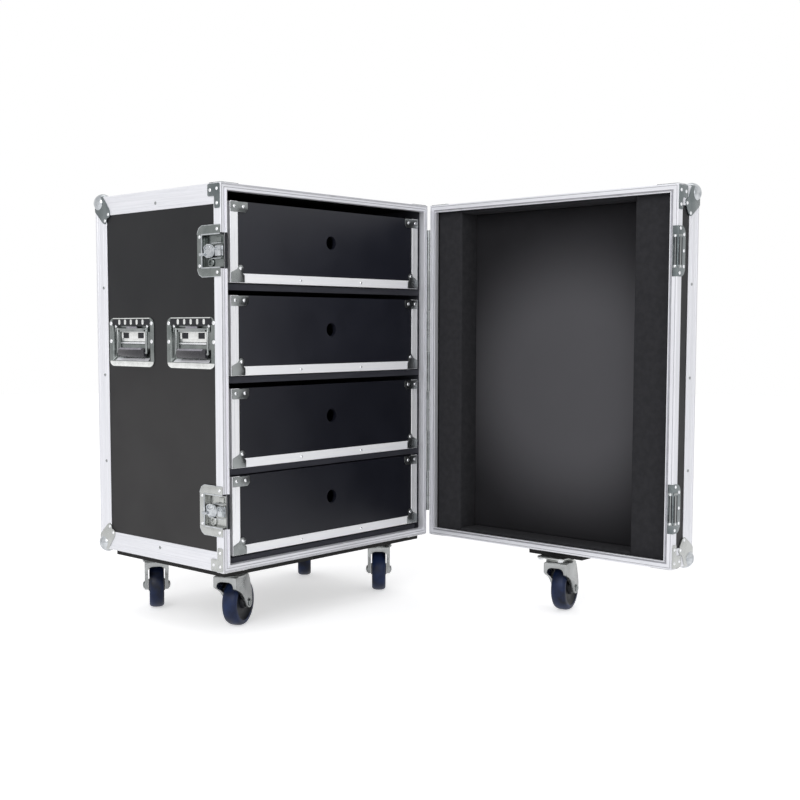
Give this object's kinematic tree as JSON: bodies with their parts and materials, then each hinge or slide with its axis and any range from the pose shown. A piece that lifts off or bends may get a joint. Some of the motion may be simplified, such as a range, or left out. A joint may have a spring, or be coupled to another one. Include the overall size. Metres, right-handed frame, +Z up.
{
  "type": "wireless microphone flight case",
  "caption": "Plywood flight case on castors with aluminium edging, a deep foam-lined hinged door that rolls on its own castor, and a stack of shallow drawers on slides.",
  "frame": {"origin": "centre of the underside of the castor board under the body", "axes": "+X to the right as seen from the drawers' side, +Y towards the back panel, +Z up"},
  "size_m": [0.7618, 1.064, 0.9151],
  "materials": {
    "laminate": "black textured phenolic laminate",
    "board": "black stained plywood",
    "aluminium": "mill finish, fine extrusion lines",
    "zinc": "bright zinc plate",
    "chrome": "polished nickel plate",
    "foam": "soft black foam",
    "wheel": "dark blue elastic tyre"
  },
  "bodies": {
    "case_body": {"left_panel": "laminate", "right_panel": "laminate", "top_panel": "laminate", "bottom_panel": "laminate", "back_panel": "laminate", "body_edging": "aluminium", "body_front_frame": "aluminium", "base_board": "board", "shelf_1": "board", "shelf_2": "board", "shelf_3": "board", "slide_carrier_left": "board", "slide_carrier_right": "board", "handle_dish_left_front": "zinc", "handle_dish_left_rear": "zinc", "handle_dish_right_front": "zinc", "handle_dish_right_rear": "zinc", "latch_dish_lower": "zinc", "latch_dish_upper": "zinc", "hinge_body_leaf": "zinc", "castor_plate_front_left": "zinc", "castor_plate_front_right": "zinc", "castor_plate_rear_left": "zinc", "castor_plate_rear_right": "zinc"},
    "door": {"door_shell": "laminate", "door_edging": "aluminium", "door_front_frame": "aluminium", "door_lining": "foam", "keeper_dish_lower": "zinc", "keeper_dish_upper": "zinc", "hinge_door_leaf": "zinc", "door_castor_board": "board", "castor_plate_door": "zinc"},
    "drawer_1": {"drawer_box_1": "board", "drawer_trim_1": "aluminium"},
    "drawer_2": {"drawer_box_2": "board", "drawer_trim_2": "aluminium"},
    "drawer_3": {"drawer_box_3": "board", "drawer_trim_3": "aluminium"},
    "drawer_4": {"drawer_box_4": "board", "drawer_trim_4": "aluminium"},
    "bail_left_front": {"handle_bail_left_front": "zinc"},
    "bail_left_rear": {"handle_bail_left_rear": "zinc"},
    "bail_right_front": {"handle_bail_right_front": "zinc"},
    "bail_right_rear": {"handle_bail_right_rear": "zinc"},
    "wing_lower": {"latch_wing_lower": "chrome"},
    "wing_upper": {"latch_wing_upper": "chrome"},
    "hook_lower": {"latch_hook_lower": "chrome"},
    "hook_upper": {"latch_hook_upper": "chrome"},
    "fork_front_left": {"castor_fork_front_left": "zinc"},
    "fork_front_right": {"castor_fork_front_right": "zinc"},
    "fork_rear_left": {"castor_fork_rear_left": "zinc"},
    "fork_rear_right": {"castor_fork_rear_right": "zinc"},
    "fork_door": {"castor_fork_door": "zinc"},
    "wheel_front_left": {"castor_wheel_front_left": "wheel"},
    "wheel_front_right": {"castor_wheel_front_right": "wheel"},
    "wheel_rear_left": {"castor_wheel_rear_left": "wheel"},
    "wheel_rear_right": {"castor_wheel_rear_right": "wheel"},
    "wheel_door": {"castor_wheel_door": "wheel"}
  },
  "joints": [
    {"name": "door_hinge", "type": "hinge", "parent": "case_body", "child": "door", "pos_m": [0.319, -0.2095, 0.4], "axis": [0, 0, 1], "range_deg": [-90, 88]},
    {"name": "drawer_1_slide", "type": "slide", "parent": "case_body", "child": "drawer_1", "axis": [0, -1, 0], "range_m": [0, 0.3]},
    {"name": "drawer_2_slide", "type": "slide", "parent": "case_body", "child": "drawer_2", "axis": [0, -1, 0], "range_m": [0, 0.3]},
    {"name": "drawer_3_slide", "type": "slide", "parent": "case_body", "child": "drawer_3", "axis": [0, -1, 0], "range_m": [0, 0.3]},
    {"name": "drawer_4_slide", "type": "slide", "parent": "case_body", "child": "drawer_4", "axis": [0, -1, 0], "range_m": [0, 0.3]},
    {"name": "bail_left_front_pivot", "type": "hinge", "parent": "case_body", "child": "bail_left_front", "pos_m": [-0.3124, -0.114, 0.497], "axis": [0, 1, 0], "range_deg": [0, 90], "stiffness_Nm_per_rad": 0.3},
    {"name": "bail_left_rear_pivot", "type": "hinge", "parent": "case_body", "child": "bail_left_rear", "pos_m": [-0.3124, 0.086, 0.497], "axis": [0, 1, 0], "range_deg": [0, 90], "stiffness_Nm_per_rad": 0.3},
    {"name": "bail_right_front_pivot", "type": "hinge", "parent": "case_body", "child": "bail_right_front", "pos_m": [0.3124, -0.114, 0.497], "axis": [0, 1, 0], "range_deg": [-90, 0], "stiffness_Nm_per_rad": 0.3},
    {"name": "bail_right_rear_pivot", "type": "hinge", "parent": "case_body", "child": "bail_right_rear", "pos_m": [0.3124, 0.086, 0.497], "axis": [0, 1, 0], "range_deg": [-90, 0], "stiffness_Nm_per_rad": 0.3},
    {"name": "wing_lower_turn", "type": "hinge", "parent": "case_body", "child": "wing_lower", "pos_m": [-0.315, -0.173, 0.135], "axis": [1, 0, 0], "range_deg": [0, 180]},
    {"name": "wing_upper_turn", "type": "hinge", "parent": "case_body", "child": "wing_upper", "pos_m": [-0.315, -0.173, 0.65], "axis": [1, 0, 0], "range_deg": [0, 180]},
    {"name": "hook_lower_slide", "type": "slide", "parent": "case_body", "child": "hook_lower", "axis": [0, -1, 0], "range_m": [0, 0.008]},
    {"name": "hook_upper_slide", "type": "slide", "parent": "case_body", "child": "hook_upper", "axis": [0, -1, 0], "range_m": [0, 0.008]},
    {"name": "castor_front_left_swivel", "type": "hinge", "parent": "case_body", "child": "fork_front_left", "pos_m": [-0.227, -0.129, -0.0155], "axis": [0, 0, 1], "continuous": true},
    {"name": "castor_front_right_swivel", "type": "hinge", "parent": "case_body", "child": "fork_front_right", "pos_m": [0.233, -0.131, -0.0155], "axis": [0, 0, 1], "continuous": true},
    {"name": "castor_rear_left_swivel", "type": "hinge", "parent": "case_body", "child": "fork_rear_left", "pos_m": [-0.233, 0.116, -0.0155], "axis": [0, 0, 1], "continuous": true},
    {"name": "castor_rear_right_swivel", "type": "hinge", "parent": "case_body", "child": "fork_rear_right", "pos_m": [0.233, 0.121, -0.0155], "axis": [0, 0, 1], "continuous": true},
    {"name": "castor_door_swivel", "type": "hinge", "parent": "door", "child": "fork_door", "pos_m": [0.359, -0.5545, -0.0155], "axis": [0, 0, 1], "continuous": true},
    {"name": "wheel_front_left_roll", "type": "hinge", "parent": "fork_front_left", "child": "wheel_front_left", "pos_m": [-0.19662, -0.11611, -0.078], "axis": [-0.3907, 0.9205, 0], "continuous": true},
    {"name": "wheel_front_right_roll", "type": "hinge", "parent": "fork_front_right", "child": "wheel_front_right", "pos_m": [0.25752, -0.10892, -0.078], "axis": [-0.6691, 0.7431, 0], "continuous": true},
    {"name": "wheel_rear_left_roll", "type": "hinge", "parent": "fork_rear_left", "child": "wheel_rear_left", "pos_m": [-0.21314, 0.14236, -0.078], "axis": [-0.7986, 0.6018, 0], "continuous": true},
    {"name": "wheel_rear_right_roll", "type": "hinge", "parent": "fork_rear_right", "child": "wheel_rear_right", "pos_m": [0.25633, 0.14433, -0.078], "axis": [-0.7071, 0.7071, 0], "continuous": true},
    {"name": "wheel_door_roll", "type": "hinge", "parent": "fork_door", "child": "wheel_door", "pos_m": [0.39115, -0.54708, -0.078], "axis": [-0.225, 0.9744, 0], "continuous": true}
  ],
  "couplings": [
    {"joint": "hook_lower_slide", "follows": "wing_lower_turn", "m_per_rad": 0.002546},
    {"joint": "hook_upper_slide", "follows": "wing_upper_turn", "m_per_rad": 0.002546}
  ]
}
